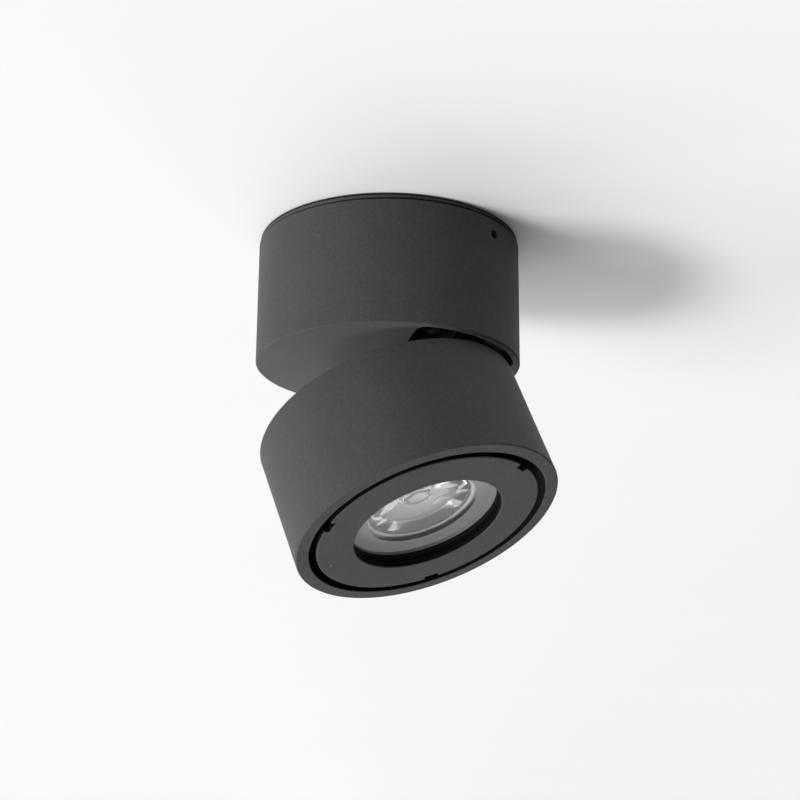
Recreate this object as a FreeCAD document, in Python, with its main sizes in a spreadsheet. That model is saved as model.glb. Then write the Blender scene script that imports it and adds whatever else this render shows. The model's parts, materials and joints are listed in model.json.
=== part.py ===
import FreeCAD, Part
import math
import os
import re
import Sketcher

# A surface mounted ceiling spotlight: two short cylinders of one diameter. The upper one, the
# housing, turns on a base that is screwed to the ceiling. The lower one, the lamp head, hangs on a
# gooseneck hinge hidden at its rim and tilts from in line with the housing to 90 degrees.
#
# Frame: millimetres, +Z up, origin at the centre of the ceiling face. The head tilts towards +X
# about an axis along Y. Housing parts are drawn from the housing's bottom plane upwards. Head parts
# are drawn from the head's top plane downwards, with the head's axis as Z, and are then placed at
# the tilt of the rest pose.

# Driving dimensions, in millimetres and degrees.
SIZES = {
    # both cylinders
    "outer_radius": 50.0,
    "shell_wall": 2.5,
    "edge_break": 0.4,
    "thread_fit": 0.03,
    "running_fit": 0.05,
    # ceiling base
    "flange_inset": 0.5,
    "flange_thickness": 1.6,
    "flange_gap": 0.5,
    "base_plate": 2.4,
    "spigot_clearance": 0.3,
    "spigot_wall": 3.0,
    "spigot_depth": 13.5,
    "groove_depth": 1.2,
    "slot_radius": 2.25,
    "slot_length": 10.0,
    "slot_offset": 31.0,
    "cable_offset": 24.0,
    "cable_radius": 4.0,
    "grommet_wall": 3.0,
    "grommet_flange": 2.0,
    "stop_pin_radius": 1.0,
    "stop_pin_seat": 3.0,
    "stop_pin_reach": 3.5,
    # mains terminal block and earth screw
    "block_offset": 14.0,
    "block_width": 14.0,
    "block_length": 32.0,
    "block_height": 11.0,
    "pole_pitch": 10.0,
    "pole_spread": 7.0,
    "wire_hole": 1.7,
    "wire_level": 4.0,
    "well_radius": 2.0,
    "well_depth": 4.0,
    "terminal_screw_height": 2.2,
    "earth_offset": 20.0,
    "earth_angle": 130.0,
    "washer_radius": 4.5,
    "washer_thickness": 0.8,
    # small screws
    "screw_radius": 1.5,
    "screw_head_radius": 2.75,
    "screw_head_height": 1.8,
    "screw_bite": 1.9,
    "clear_hole": 0.2,
    # housing
    "housing_height": 47.3,
    "floor": 3.0,
    "recess_width": 20.5,
    "recess_angle": 75.0,
    "recess_depth": 6.0,
    "recess_wall": 2.5,
    "recess_corner": 4.0,
    "wire_pass": 2.8,
    "wire_pass_inset": 5.0,
    "grub_radius": 1.75,
    "grub_depth": 5.95,
    "grub_sink": 0.6,
    "grub_tip_radius": 1.2,
    "grub_socket": 1.0,
    "tip_clearance": 0.3,
    "stop_rib_width": 2.4,
    "stop_rib_depth": 3.6,
    "stop_rib_gap": 0.7,
    # driver
    "driver_margin": 10.5,
    "driver_width": 46.0,
    "driver_height": 20.0,
    "driver_wall": 1.5,
    "driver_clearance": 10.0,
    "lid_thickness": 1.5,
    "lid_lip": 2.0,
    "lid_fit": 0.1,
    "ear_radius": 4.0,
    "ear_thickness": 2.0,
    "ear_reach": 4.0,
    "pillar_radius": 3.0,
    "pillar_height": 3.0,
    "board_thickness": 1.6,
    "board_rise": 3.0,
    "board_fit": 0.4,
    "transformer_length": 16.0,
    "transformer_width": 18.0,
    "transformer_height": 11.0,
    "bobbin_reach": 2.0,
    "capacitor_radius": 4.0,
    "capacitor_height": 10.0,
    "capacitor_pitch": 26.0,
    "coil_radius": 4.5,
    "coil_bore": 2.2,
    "coil_height": 6.0,
    "connector_length": 7.0,
    "connector_width": 12.0,
    "connector_height": 8.0,
    # hinge
    "tilt": 24.2,
    "pivot_inset": 7.25,
    "pivot_drop": 11.2,
    "closed_gap": 3.5,
    "bracket_thickness": 2.0,
    "bracket_fit": 0.3,
    "bracket_screw_inset": 11.0,
    "bracket_screw_spread": 50.0,
    "arm_inner": 6.0,
    "arm_reach": 15.25,
    "arm_throat": 8.75,
    "arm_step": 2.75,
    "arm_end": 3.0,
    "outer_bend": 6.0,
    "throat_bend": 2.0,
    "foot_bend": 3.0,
    "pin_radius": 2.0,
    "pin_head_radius": 2.9,
    "pin_head_height": 1.6,
    "pin_thread_radius": 1.5,
    "pin_thread_length": 3.0,
    "side_play": 0.1,
    "friction_washer": 0.5,
    "friction_washer_radius": 4.0,
    "spring_thickness": 0.6,
    "nut_flats": 5.5,
    "nut_height": 2.4,
    # head shell
    "head_height": 46.75,
    "head_top": 3.0,
    "rim_wall": 5.0,
    "rim_depth": 8.0,
    "window_margin": 2.0,
    "window_angle": 44.0,
    "boss_inset": 13.0,
    "boss_radius": 4.0,
    "boss_start": 60.0,
    # heat sink
    "sink_clearance": 2.5,
    "fin_gap": 1.0,
    "fin_height": 11.5,
    "fin_thickness": 1.6,
    "fin_count": 24.0,
    "core_radius": 11.0,
    "sink_base": 4.5,
    "bay_margin": 3.5,
    "bay_angle": 48.0,
    "boss_clearance": 0.6,
    "knuckle_reach": 11.75,
    # light source
    "pad_thickness": 0.3,
    "led_side": 20.0,
    "led_thickness": 1.3,
    "led_fit": 0.3,
    "emitter_radius": 6.0,
    "emitter_thickness": 0.5,
    "holder_radius": 17.5,
    "holder_height": 4.0,
    "holder_bore": 6.8,
    "holder_mouth": 9.2,
    "holder_screw_ring": 14.0,
    # optics
    "ring_thickness": 2.0,
    "ring_gap": 0.3,
    "ring_slot": 2.75,
    "ring_width": 14.05,
    "lip_thickness": 1.6,
    "seal_thickness": 3.0,
    "glass_thickness": 2.0,
    "glass_seat": 5.8,
    "glass_fit": 0.3,
    "plate_thickness": 1.5,
    "lens_radius": 19.5,
    "lens_fit": 0.1,
    "lens_rim": 2.0,
    "lens_step": 1.2,
    "lens_back_radius": 7.5,
    "lens_belly": 15.2,
    "lens_belly_height": 6.5,
    "lens_sink": 1.0,
    "cavity_radius": 6.5,
    "cavity_depth": 5.5,
    "cavity_crown": 1.5,
    "retainer_height": 4.0,
    "retainer_width": 4.5,
    "retainer_slot": 3.0,
    # optic cup and bayonet
    "cup_wall": 2.5,
    "cup_flange": 2.5,
    "bayonet_level": 3.4,
    "bayonet_width": 2.0,
    "bayonet_depth": 1.2,
    "bayonet_play": 0.3,
    "foot_angle": 20.0,
    "foot_wall": 1.8,
    "twist": 15.0,
    "notch_start": 8.6,
    "notch_width": 5.6,
    "notch_depth": 2.2,
    "bevel": 0.3,
    "thirds": 3.0,
}

# Sizes and places that follow from the driving dimensions. Heights in the base are measured from
# the ceiling, in the housing from its bottom plane and in the head from its top plane.
PLACES = {
    "inner_radius": "outer_radius - shell_wall",
    "ear_offset": "driver_width / 2 + ear_reach",
    "flange_radius": "outer_radius - flange_inset",
    "recess_inner": "inner_radius - recess_width",
    "wire_pass_offset": "recess_inner + wire_pass_inset",
    "bracket_screw_ring": "recess_inner + bracket_screw_inset",
    "driver_edge": "recess_inner - driver_clearance",
    "driver_length": "driver_edge + inner_radius - driver_margin",
    "pivot_x": "outer_radius - pivot_inset",
    "arm_back": "pivot_x - arm_reach",
    "arm_front": "pivot_x - arm_throat",
    "arm_foot": "pivot_x - arm_step",
    "window_inner": "arm_back - window_margin",
    "bay_inner": "window_inner - bay_margin",
    "knuckle_back": "pivot_x - knuckle_reach",
    "rim_radius": "outer_radius - rim_wall",
    "sink_radius": "rim_radius - sink_clearance",
    "ring_radius": "rim_radius - ring_slot",
    "boss_ring": "sink_radius - boss_inset",
    "aperture": "ring_radius - ring_width",
    "glass_radius": "aperture + glass_seat",
    "retainer_bore": "glass_radius - retainer_width",
    "housing_bottom": "-(flange_thickness + flange_gap + housing_height)",
    "spigot_outer": "inner_radius - spigot_clearance",
    "spigot_inner": "spigot_outer - spigot_wall",
    "groove_radius": "spigot_outer - groove_depth",
    "groove_middle": "-(flange_thickness + flange_gap + grub_depth)",
    "groove_half": "grub_tip_radius + tip_clearance",
    "spigot_middle": "(spigot_outer + spigot_inner) / 2",
    "stop_pin_end": "-(spigot_depth + stop_pin_reach)",
    "grub_level": "housing_height - grub_depth",
    "block_bottom": "-(base_plate + block_height)",
    "grommet_radius": "cable_radius + grommet_wall",
    "tapped_hole": "screw_radius + thread_fit",
    "passing_hole": "screw_radius + clear_hole",
    "bracket_under": "recess_depth - bracket_thickness",
    "roof_top": "recess_depth + recess_wall",
    "arm_outer": "arm_inner + bracket_thickness",
    "knuckle_half": "arm_inner - side_play - friction_washer",
    "pin_hole": "pin_radius + running_fit",
    "nut_radius": "nut_flats / sqrt(3)",
    "lid_seat": "floor + driver_height",
    "board_level": "floor + driver_wall + board_rise",
    "board_top": "board_level + board_thickness",
    "driver_middle": "driver_edge - driver_length / 2",
    "pivot_depth": "pivot_drop - closed_gap",
    "head_x": "pivot_x - pivot_x * cos(tilt) - pivot_depth * sin(tilt)",
    "head_z": "housing_bottom - pivot_drop - pivot_x * sin(tilt) + pivot_depth * cos(tilt)",
    "face": "-head_height",
    "fin_top": "-(head_top + fin_gap)",
    "sink_deck": "fin_top - fin_height",
    "sink_face": "sink_deck - sink_base",
    "board_front": "sink_face - pad_thickness - led_thickness",
    "holder_front": "sink_face - holder_height",
    "cup_front": "face + ring_thickness + ring_gap",
    "seal_front": "cup_front + lip_thickness",
    "glass_front": "seal_front + seal_thickness",
    "plate_front": "glass_front + glass_thickness",
    "plate_back": "plate_front + plate_thickness",
    "retainer_back": "plate_back + retainer_height",
    "lens_back": "holder_front + lens_sink",
    "cup_bore": "glass_radius + glass_fit",
    "cup_radius": "cup_bore + cup_wall",
    "bayonet_front": "cup_front + bayonet_level",
    "bayonet_back": "bayonet_front + bayonet_width",
    "bayonet_radius": "cup_radius - bayonet_depth",
    "flange_front": "sink_face - cup_flange",
    "cup_screw_ring": "(cup_radius + sink_radius) / 2",
    "foot_inner": "cup_radius + bayonet_play",
    "foot_outer": "foot_inner + foot_wall",
    "hook_inner": "bayonet_radius + bayonet_play",
    "hook_front": "bayonet_front + bayonet_play",
    "hook_back": "bayonet_back - bayonet_play",
}

doc = FreeCAD.newDocument("ceiling_spotlight")
sheet = doc.addObject("Spreadsheet::Sheet", "sizes")


def fill_sheet():
    for row, (name, value) in enumerate(SIZES.items(), start=1):
        sheet.set(f"A{row}", name)
        sheet.set(f"B{row}", str(value))
        sheet.setAlias(f"B{row}", name)
    doc.recompute()


def full(text):
    """Write out a formula so that every named size points at its cell."""
    def swap(match):
        word = match.group(0)
        if word in SIZES:
            return "sizes." + word
        if word in PLACES:
            return "(" + full(PLACES[word]) + ")"
        return word
    return re.sub(r"[a-z_]+", swap, text)


def number(text):
    result = sheet.evalExpression(full(text))
    return float(getattr(result, "Value", result))


def bind(thing, path, text):
    thing.setExpression(path, full(text))


# ---- bodies, sketches and features -------------------------------------------------------------

pieces = []


def new_body(name):
    body = doc.addObject("PartDesign::Body", name)
    body.Label = name
    pieces.append(body)
    return body


def base_body(name):
    return new_body(name)


def housing_body(name):
    body = new_body(name)
    bind(body, "Placement.Base.z", "housing_bottom")
    return body


def head_body(name):
    body = new_body(name)
    towards_x = FreeCAD.Rotation(FreeCAD.Vector(0, -1, 0), number("tilt"))
    body.Placement = FreeCAD.Placement(FreeCAD.Vector(), towards_x)
    bind(body, "Placement.Base.x", "head_x")
    bind(body, "Placement.Base.z", "head_z")
    bind(body, "Placement.Rotation.Angle", "tilt * 1 deg")
    return body


def origin_part(body, role):
    return [part for part in body.Origin.OriginFeatures if part.Role == role][0]


def new_sketch(body, role, lift=None, turn=None):
    """A sketch on an origin plane, lifted along its normal or turned about the body's Z axis."""
    sketch = body.newObject("Sketcher::SketchObject", body.Name + "_sketch")
    sketch.AttachmentSupport = [(origin_part(body, role), "")]
    sketch.MapMode = "FlatFace"
    if lift is not None:
        bind(sketch, "AttachmentOffset.Base.z", lift)
    if turn is not None:
        about_z = FreeCAD.Rotation(FreeCAD.Vector(0, 1, 0), 1.0)
        sketch.AttachmentOffset = FreeCAD.Placement(FreeCAD.Vector(), about_z)
        bind(sketch, "AttachmentOffset.Rotation.Angle", f"({turn}) * 1 deg")
    return sketch


def hold_point(sketch, shape, place, x, y):
    """Tie one point of the sketch to a place given by two formulas."""
    for kind, text in (("DistanceX", x), ("DistanceY", y)):
        row = sketch.addConstraint(Sketcher.Constraint(kind, -1, 1, shape, place, number(text)))
        bind(sketch, f"Constraints[{row}]", text)


def hold_radius(sketch, shape, text):
    row = sketch.addConstraint(Sketcher.Constraint("Radius", shape, number(text)))
    bind(sketch, f"Constraints[{row}]", text)


def draw_circle(sketch, x, y, radius):
    centre = FreeCAD.Vector(number(x), number(y), 0)
    circle = Part.Circle(centre, FreeCAD.Vector(0, 0, 1), number(radius))
    shape = sketch.addGeometry(circle, False)
    hold_point(sketch, shape, 3, x, y)
    hold_radius(sketch, shape, radius)


def draw_slot(sketch, x, low, high, radius):
    """A slot along Y between two round ends."""
    r = number(radius)
    left = number(x) - r
    right = number(x) + r
    ends = []
    for y, start in ((high, 0), (low, math.pi)):
        centre = FreeCAD.Vector(number(x), number(y), 0)
        circle = Part.Circle(centre, FreeCAD.Vector(0, 0, 1), r)
        ends.append(sketch.addGeometry(Part.ArcOfCircle(circle, start, start + math.pi), False))
        hold_point(sketch, ends[-1], 3, x, y)
    sides = []
    for side, first, last in ((left, high, low), (right, low, high)):
        start = FreeCAD.Vector(side, number(first), 0)
        stop = FreeCAD.Vector(side, number(last), 0)
        sides.append(sketch.addGeometry(Part.LineSegment(start, stop), False))
    for before, after in ((ends[0], sides[0]), (sides[0], ends[1]), (ends[1], sides[1]), (sides[1], ends[0])):
        sketch.addConstraint(Sketcher.Constraint("Tangent", before, 2, after, 1))
    hold_radius(sketch, ends[0], radius)


def corner_arc(before, spot, after, radius):
    """Where a rounded corner leaves its two sides, and the arc between them."""
    back = (before - spot).normalize()
    ahead = (after - spot).normalize()
    half = back.getAngle(ahead) / 2
    run = radius / math.tan(half)
    start = spot + back * run
    stop = spot + ahead * run
    centre = spot + (back + ahead).normalize() * (radius / math.sin(half))
    middle = centre + (spot - centre).normalize() * radius
    turns_left = (-back).cross(ahead).z > 0
    arc = Part.Arc(start, middle, stop) if turns_left else Part.Arc(stop, middle, start)
    return start, stop, arc, turns_left


def draw_outline(sketch, corners):
    """A closed outline. A corner is x and y as formulas, with a radius where it is rounded."""
    count = len(corners)
    spots = [FreeCAD.Vector(number(corner[0]), number(corner[1]), 0) for corner in corners]
    entries = list(spots)
    exits = list(spots)
    arcs = {}
    for index, corner in enumerate(corners):
        if len(corner) == 3:
            around = (spots[index - 1], spots[index], spots[(index + 1) % count])
            entries[index], exits[index], arc, left = corner_arc(*around, number(corner[2]))
            arcs[index] = (arc, left)
    for index in range(count):
        side = Part.LineSegment(exits[index], entries[(index + 1) % count])
        sketch.addGeometry(side, False)
    for index, corner in enumerate(corners):
        before = (index - 1) % count
        if index not in arcs:
            sketch.addConstraint(Sketcher.Constraint("Coincident", before, 2, index, 1))
            hold_point(sketch, index, 1, corner[0], corner[1])
            continue
        arc, left = arcs[index]
        shape = sketch.addGeometry(arc, False)
        first, last = (1, 2) if left else (2, 1)
        sketch.addConstraint(Sketcher.Constraint("Tangent", before, 2, shape, first))
        sketch.addConstraint(Sketcher.Constraint("Tangent", shape, last, index, 1))
        hold_radius(sketch, shape, corner[2])
        sharp = sketch.addGeometry(Part.Point(spots[index]), True)
        sketch.addConstraint(Sketcher.Constraint("PointOnObject", sharp, 1, before))
        sketch.addConstraint(Sketcher.Constraint("PointOnObject", sharp, 1, index))
        hold_point(sketch, sharp, 1, corner[0], corner[1])


def draw_box(sketch, x_low, x_high, y_low, y_high):
    draw_outline(sketch, [(x_low, y_low), (x_high, y_low), (x_high, y_high), (x_low, y_high)])


def new_feature(body, kind, sketch):
    feature = body.newObject("PartDesign::" + kind, f"{body.Name}_{kind.lower()}")
    feature.Profile = sketch
    return feature


def draw_spindle(sketch, first, last):
    """A construction line that an outline is turned about."""
    ends = [FreeCAD.Vector(number(corner[0]), number(corner[1]), 0) for corner in (first, last)]
    line = sketch.addGeometry(Part.LineSegment(*ends), True)
    hold_point(sketch, line, 1, *first[:2])
    hold_point(sketch, line, 2, *last[:2])


def revolve(body, corners, sector=None, turn=None, cut=False, spun_on_edge=False, role="XZ_Plane", lift=None):
    """Turn an outline about Z, or about its own last side. A sector is centred on the sketch."""
    sketch = new_sketch(body, role, lift=lift, turn=turn)
    draw_outline(sketch, corners)
    if spun_on_edge:
        draw_spindle(sketch, corners[0], corners[-1])
    feature = new_feature(body, "Groove" if cut else "Revolution", sketch)
    feature.ReferenceAxis = (sketch, ["Axis0" if spun_on_edge else "V_Axis"])
    feature.Angle = 360
    if sector is not None:
        feature.Midplane = True
        bind(feature, "Angle", sector)
    return feature


def pad(body, sketch, length, down=False, middle=False):
    feature = new_feature(body, "Pad", sketch)
    feature.Reversed = down
    feature.Midplane = middle
    bind(feature, "Length", length)
    return feature


def pocket(body, sketch, length, up=False, middle=False):
    feature = new_feature(body, "Pocket", sketch)
    feature.Reversed = up
    feature.Midplane = middle
    bind(feature, "Length", length)
    return feature


def round_copies(body, features, count="thirds", spread=None):
    """Repeat features about the body's Z axis."""
    pattern = body.newObject("PartDesign::PolarPattern", body.Name + "_copies")
    pattern.Originals = features
    pattern.Axis = (origin_part(body, "Z_Axis"), [""])
    pattern.Angle = 360
    bind(pattern, "Occurrences", count)
    if spread is not None:
        bind(pattern, "Angle", spread)
    body.Tip = pattern
    return pattern


def row_copies(body, features, role, length, count):
    """Repeat features in a row along one of the body's axes."""
    pattern = body.newObject("PartDesign::LinearPattern", body.Name + "_row")
    pattern.Originals = features
    pattern.Direction = (origin_part(body, role), [""])
    bind(pattern, "Length", length)
    pattern.Occurrences = count
    body.Tip = pattern
    return pattern


def mirror(body, features, role):
    copy = body.newObject("PartDesign::Mirrored", body.Name + "_mirror")
    copy.Originals = features
    copy.MirrorPlane = (origin_part(body, role), [""])
    body.Tip = copy
    return copy


def break_rims(body, size, rims, kind="Chamfer"):
    """Chamfer or round the circular edges at the given radii and heights."""
    doc.recompute()
    base = body.Tip
    targets = [(number(radius), number(height)) for radius, height in rims]

    def wanted(edge):
        curve = edge.Curve
        if not isinstance(curve, Part.Circle):
            return False
        return any(
            abs(curve.Radius - radius) < 1e-4 and abs(curve.Center.z - height) < 1e-4
            for radius, height in targets
        )

    names = [f"Edge{index}" for index, edge in enumerate(base.Shape.Edges, start=1) if wanted(edge)]
    feature = body.newObject("PartDesign::" + kind, body.Name + "_rims")
    feature.Base = (base, names)
    bind(feature, "Size" if kind == "Chamfer" else "Radius", size)
    return feature


def round_corners(body, size, ring, angle, level):
    """Round the upright edges that start at a level, at a ring radius and plus or minus an angle."""
    doc.recompute()
    base = body.Tip
    radius = number(ring)
    spread = math.radians(number(angle))
    height = number(level)

    def wanted(edge):
        ends = [vertex.Point for vertex in edge.Vertexes]
        if len(ends) != 2 or abs(ends[0].x - ends[1].x) + abs(ends[0].y - ends[1].y) > 1e-4:
            return False
        at_level = min(abs(end.z - height) for end in ends) < 1e-4
        at_ring = abs(math.hypot(ends[0].x, ends[0].y) - radius) < 1e-3
        at_angle = abs(abs(math.atan2(ends[0].y, ends[0].x)) - spread) < 1e-3
        return at_level and at_ring and at_angle

    names = [f"Edge{index}" for index, edge in enumerate(base.Shape.Edges, start=1) if wanted(edge)]
    feature = body.newObject("PartDesign::Fillet", body.Name + "_corners")
    feature.Base = (base, names)
    bind(feature, "Radius", size)
    return feature


def screw(body, x, seat, tip, head, turn=None, role="XZ_Plane"):
    """A pan-head screw beside the axis: head is where the head ends, tip where the shank ends."""
    corners = [
        (x, head),
        (f"{x} + screw_head_radius", head),
        (f"{x} + screw_head_radius", seat),
        (f"{x} + screw_radius", seat),
        (f"{x} + screw_radius", tip),
        (x, tip),
    ]
    return revolve(body, corners, turn=turn, spun_on_edge=True, role=role)


def round_hole(body, x, y, radius, level, depth, up=False):
    """A round hole along Z that starts at a level and runs down, or up."""
    sketch = new_sketch(body, "XY_Plane", lift=level)
    draw_circle(sketch, x, y, radius)
    return pocket(body, sketch, depth, up=up)


def polar(ring, angle):
    """The x and y formulas of a place given by its ring radius and its angle."""
    return f"({ring}) * cos({angle})", f"({ring}) * sin({angle})"


# ---- ceiling base ------------------------------------------------------------------------------

def make_ceiling_base():
    """Round plate on the ceiling, with a spigot whose groove carries the housing."""
    body = base_body("ceiling_base")
    revolve(body, [
        ("0", "0"),
        ("flange_radius", "0"),
        ("flange_radius", "-flange_thickness"),
        ("spigot_outer", "-flange_thickness"),
        ("spigot_outer", "groove_middle + groove_half"),
        ("groove_radius", "groove_middle + groove_half"),
        ("groove_radius", "groove_middle - groove_half"),
        ("spigot_outer", "groove_middle - groove_half"),
        ("spigot_outer", "-spigot_depth"),
        ("spigot_inner", "-spigot_depth"),
        ("spigot_inner", "-base_plate"),
        ("0", "-base_plate"),
    ])
    slots = new_sketch(body, "XY_Plane")
    reach = "(slot_length / 2 - slot_radius)"
    draw_slot(slots, "0", f"slot_offset - {reach}", f"slot_offset + {reach}", "slot_radius")
    draw_slot(slots, "0", f"-slot_offset - {reach}", f"-slot_offset + {reach}", "slot_radius")
    pocket(body, slots, "base_plate")
    round_hole(body, "-cable_offset", "0", "grommet_radius", "0", "base_plate")
    round_hole(body, "spigot_middle", "0", "stop_pin_radius", "-spigot_depth", "stop_pin_seat", up=True)
    for side in ("-", ""):
        spot = f"{side}pole_pitch / 2"
        round_hole(body, "block_offset", spot, "tapped_hole", "-base_plate", "screw_bite", up=True)
    earth = polar("earth_offset", "earth_angle")
    round_hole(body, *earth, "tapped_hole", "-base_plate", "screw_bite", up=True)
    break_rims(body, "bevel", [("flange_radius", "-flange_thickness")])


def make_cable_grommet():
    """Rubber bush in the cable hole, with its flange under the plate."""
    body = base_body("cable_grommet")
    low = "-(base_plate + grommet_flange)"
    flange = "grommet_radius + grommet_flange"
    revolve(body, [
        ("-cable_offset", "-clear_hole"),
        ("-cable_offset - grommet_radius", "-clear_hole"),
        ("-cable_offset - grommet_radius", "-base_plate"),
        (f"-cable_offset - ({flange})", "-base_plate"),
        (f"-cable_offset - ({flange})", low),
        ("-cable_offset", low),
    ], spun_on_edge=True)
    round_hole(body, "-cable_offset", "0", "cable_radius", "0", "base_plate + grommet_flange + 1")


def make_pan_stop_pin():
    """Pin under the spigot that the housing's rib meets at each end of its turn."""
    body = base_body("pan_stop_pin")
    sketch = new_sketch(body, "XY_Plane", lift="stop_pin_end")
    draw_circle(sketch, "spigot_middle", "0", "stop_pin_radius")
    pad(body, sketch, "stop_pin_reach + stop_pin_seat")


def make_terminal_block():
    """Three-pole mains block: wire holes through both sides and a screw well over each."""
    body = base_body("terminal_block")
    low = "block_offset - block_width / 2"
    high = "block_offset + block_width / 2"
    outline = new_sketch(body, "XY_Plane", lift="block_bottom")
    draw_box(outline, low, high, "-block_length / 2", "block_length / 2")
    pad(body, outline, "block_height")
    wires = new_sketch(body, "YZ_Plane", lift="block_offset")
    draw_circle(wires, "-pole_pitch", "block_bottom + wire_level", "wire_hole")
    ways = pocket(body, wires, "block_width + 1", middle=True)
    wells = new_sketch(body, "XY_Plane", lift="block_bottom")
    for side in ("-", "+"):
        draw_circle(wells, f"block_offset {side} pole_spread / 2", "-pole_pitch", "well_radius")
    cuts = pocket(body, wells, "well_depth", up=True)
    row_copies(body, [ways, cuts], "Y_Axis", "pole_pitch * 2", 3)
    for side in ("-", ""):
        spot = f"{side}pole_pitch / 2"
        round_hole(body, "block_offset", spot, "passing_hole", "block_bottom", "block_height", up=True)


def make_terminal_screws():
    """Six clamp screws, two to a pole, at the bottom of their wells."""
    body = base_body("terminal_screws")
    heads = new_sketch(body, "XY_Plane", lift="block_bottom + well_depth")
    for side in ("-", "+"):
        spot = f"block_offset {side} pole_spread / 2"
        draw_circle(heads, spot, "-pole_pitch", "well_radius - clear_hole")
    screws = pad(body, heads, "terminal_screw_height", down=True)
    row_copies(body, [screws], "Y_Axis", "pole_pitch * 2", 3)


def make_terminal_block_screws():
    """Two screws that hold the block to the plate."""
    body = base_body("terminal_block_screws")
    sketch = new_sketch(body, "XY_Plane", lift="block_bottom")
    draw_circle(sketch, "block_offset", "-pole_pitch / 2", "screw_radius")
    shank = pad(body, sketch, "block_height + screw_bite")
    heads = new_sketch(body, "XY_Plane", lift="block_bottom")
    draw_circle(heads, "block_offset", "-pole_pitch / 2", "screw_head_radius - clear_hole")
    head = pad(body, heads, "screw_head_height", down=True)
    mirror(body, [shank, head], "XZ_Plane")


def make_earth_screw():
    """Earth screw and its washer, both on the plate."""
    body = base_body("earth_screw")
    under = "-base_plate - washer_thickness"
    corners = [
        ("earth_offset", f"{under} - screw_head_height"),
        ("earth_offset + screw_head_radius", f"{under} - screw_head_height"),
        ("earth_offset + screw_head_radius", under),
        ("earth_offset + washer_radius", under),
        ("earth_offset + washer_radius", "-base_plate"),
        ("earth_offset + screw_radius", "-base_plate"),
        ("earth_offset + screw_radius", "-base_plate + screw_bite"),
        ("earth_offset", "-base_plate + screw_bite"),
    ]
    revolve(body, corners, turn="earth_angle", spun_on_edge=True)


# ---- housing -----------------------------------------------------------------------------------

def make_housing_shell():
    """Turned can with a recess in its bottom for the hinge, and a rib that stops the turn."""
    body = housing_body("housing_shell")
    revolve(body, [
        ("0", "0"),
        ("outer_radius", "0"),
        ("outer_radius", "housing_height"),
        ("inner_radius", "housing_height"),
        ("inner_radius", "floor"),
        ("0", "floor"),
    ])
    boss_inner = "recess_inner - recess_wall"
    boss_outer = "inner_radius + shell_wall / 2"
    boss_angle = "recess_angle * 1 deg + 2 * atan(recess_wall / recess_inner)"
    revolve(body, [
        (boss_inner, "floor / 2"),
        (boss_outer, "floor / 2"),
        (boss_outer, "roof_top"),
        (boss_inner, "roof_top"),
    ], sector=boss_angle)
    rib = new_sketch(body, "XY_Plane", lift="floor / 2")
    rib_back = "-inner_radius - shell_wall / 2"
    draw_box(rib, rib_back, "-inner_radius + stop_rib_depth", "-stop_rib_width / 2", "stop_rib_width / 2")
    pad(body, rib, "-housing_bottom - spigot_depth - stop_rib_gap - floor / 2")
    ear_x = "driver_middle"
    for side in ("-", ""):
        pillar = new_sketch(body, "XY_Plane", lift="floor / 2")
        draw_circle(pillar, ear_x, f"{side}ear_offset", "pillar_radius")
        pad(body, pillar, "floor / 2 + pillar_height")
        top = "floor + pillar_height"
        round_hole(body, ear_x, f"{side}ear_offset", "tapped_hole", top, "screw_bite + pillar_height / 2")
    revolve(body, [
        ("recess_inner", "-1"),
        ("inner_radius", "-1"),
        ("inner_radius", "recess_depth"),
        ("recess_inner", "recess_depth"),
    ], sector="recess_angle", cut=True)
    round_corners(body, "recess_corner", "inner_radius", "recess_angle / 2", "0")
    round_hole(body, "wire_pass_offset", "0", "wire_pass", "0", "roof_top + 1", up=True)
    start = polar("bracket_screw_ring", "-bracket_screw_spread / 2")
    tapped = round_hole(body, *start, "tapped_hole", "0", "roof_top + 1", up=True)
    round_copies(body, [tapped], spread="bracket_screw_spread")
    grub = new_sketch(body, "YZ_Plane", lift="inner_radius - shell_wall")
    draw_circle(grub, "0", "grub_level", "grub_radius + thread_fit")
    hole = pocket(body, grub, "shell_wall * 3", up=True)
    mirror(body, [hole], "YZ_Plane")
    break_rims(body, "edge_break", [("outer_radius", "0"), ("outer_radius", "housing_height")])


def make_grub_screws():
    """Two dog-point screws in the wall, whose tips run in the spigot's groove and carry the housing."""
    body = housing_body("grub_screws")
    outside = "outer_radius - grub_sink"
    shoulder = "inner_radius + tip_clearance"
    tip = "groove_radius + tip_clearance"
    screw_form = revolve(body, [
        (outside, "grub_level"),
        (outside, "grub_level + grub_radius"),
        (shoulder, "grub_level + grub_radius"),
        (shoulder, "grub_level + grub_tip_radius"),
        (tip, "grub_level + grub_tip_radius"),
        (tip, "grub_level"),
    ], spun_on_edge=True)
    socket = new_sketch(body, "YZ_Plane", lift="outer_radius")
    draw_hexagon(socket, "0", "grub_level", "grub_socket")
    socket_form = pocket(body, socket, "grub_sink + shell_wall / 2")
    mirror(body, [screw_form, socket_form], "YZ_Plane")


def draw_hexagon(sketch, x, y, radius):
    corners = []
    for step in range(6):
        corners.append((f"{x} + ({radius}) * cos({60 * step})", f"{y} + ({radius}) * sin({60 * step})"))
    draw_outline(sketch, corners)


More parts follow.
